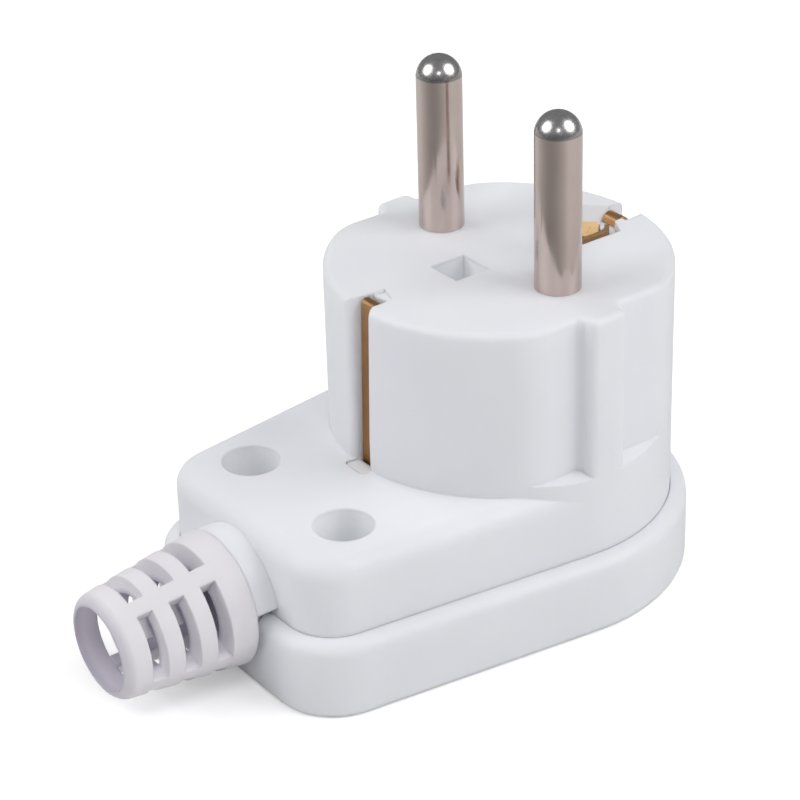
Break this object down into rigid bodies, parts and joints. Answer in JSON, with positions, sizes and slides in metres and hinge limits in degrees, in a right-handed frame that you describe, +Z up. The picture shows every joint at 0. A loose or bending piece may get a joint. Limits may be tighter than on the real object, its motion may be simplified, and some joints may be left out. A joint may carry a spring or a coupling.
{
  "type": "type f plug",
  "caption": "Right-angle type F mains plug standing on its flat base cover: round pin body with contact pins up, side earth clips, screwed flange and a slotted cord boot.",
  "frame": {"origin": "on the underside of the base cover, below the point midway between the two pins, which is the centre of the round pin body", "axes": "+Z up along the pins, X along the cord axis with the cord boot toward -X, Y along the line through the two pins"},
  "size_m": [0.0705, 0.0398, 0.0543],
  "materials": {
    "housing_plastic": "satin moulded",
    "cover_plastic": "satin moulded",
    "clamp_plastic": "satin moulded",
    "boot_rubber": "matt soft plastic",
    "pin_plating": "nickel plated, drawn along the pin",
    "earth_copper": "bare rolled strip",
    "earth_bronze": "bare rolled strip",
    "screw_steel": "zinc plated"
  },
  "bodies": {
    "root": {"upper_housing": "housing_plastic", "base_cover": "cover_plastic", "contact_pin_left": "pin_plating", "contact_pin_right": "pin_plating", "pin_screw_left": "screw_steel", "pin_screw_right": "screw_steel", "earth_strap": "earth_copper", "earth_socket_spring": "earth_bronze", "earth_rivet": "earth_bronze", "earth_washer": "screw_steel", "earth_nut": "screw_steel", "earth_screw": "screw_steel", "cord_clamp_bar": "clamp_plastic", "cord_clamp_screw_left": "screw_steel", "cord_clamp_screw_right": "screw_steel", "housing_screw_left": "screw_steel", "housing_screw_right": "screw_steel", "cord_boot": "boot_rubber"}
  },
  "joints": []
}
